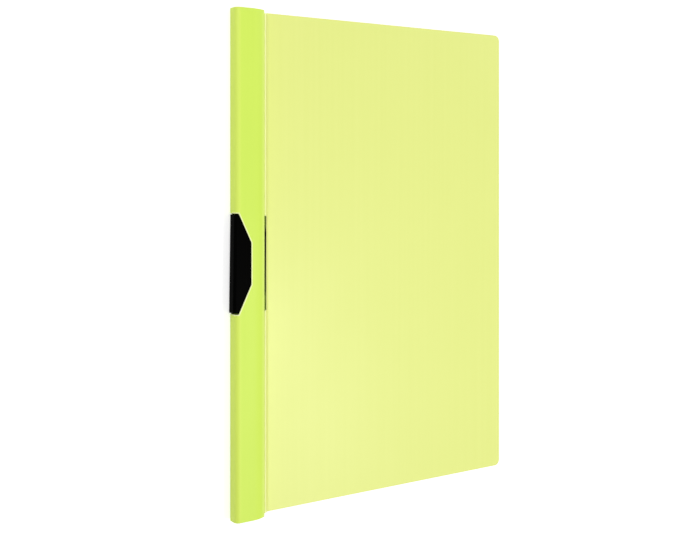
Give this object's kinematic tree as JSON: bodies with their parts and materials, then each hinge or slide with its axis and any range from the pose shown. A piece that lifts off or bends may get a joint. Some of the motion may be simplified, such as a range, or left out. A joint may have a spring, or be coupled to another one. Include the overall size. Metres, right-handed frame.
{
  "type": "clip folder",
  "caption": "A4 plastic report folder, closed, with a paler translucent front cover creased beside a rounded spine band, and a black spring clip that swings out of a window in the spine.",
  "frame": {"origin": "below the middle of the folder, on the plane that its lowest face, the rivet's head, touches", "axes": "+X from the spine to the fore edge, +Y up the page to the folder's top edge, +Z out of the front cover"},
  "size_m": [0.2176, 0.31, 0.0104],
  "materials": {
    "band_plastic": "smooth translucent yellow-green polypropylene, satin",
    "cover_plastic": "smooth translucent pale yellow-green polypropylene, satin",
    "clip_steel": "black satin coating",
    "rivet_steel": "plain satin steel"
  },
  "bodies": {
    "back": {"back_cover": "band_plastic", "cover_margin_top": "cover_plastic", "cover_margin_bottom": "cover_plastic", "pivot_rivet": "rivet_steel", "pivot_washer": "rivet_steel"},
    "cover": {"front_cover": "cover_plastic"},
    "clip": {"swing_clip": "clip_steel"}
  },
  "joints": [
    {"name": "cover_opens", "type": "hinge", "parent": "back", "child": "cover", "pos_m": [-0.08598, 0, 0.00704], "axis": [0, -1, 0], "range_deg": [0, 180]},
    {"name": "clip_swings", "type": "hinge", "parent": "back", "child": "clip", "pos_m": [-0.10292, 0.0247, 0.0022], "axis": [0, 0, -1], "range_deg": [-0.8, 89]}
  ]
}
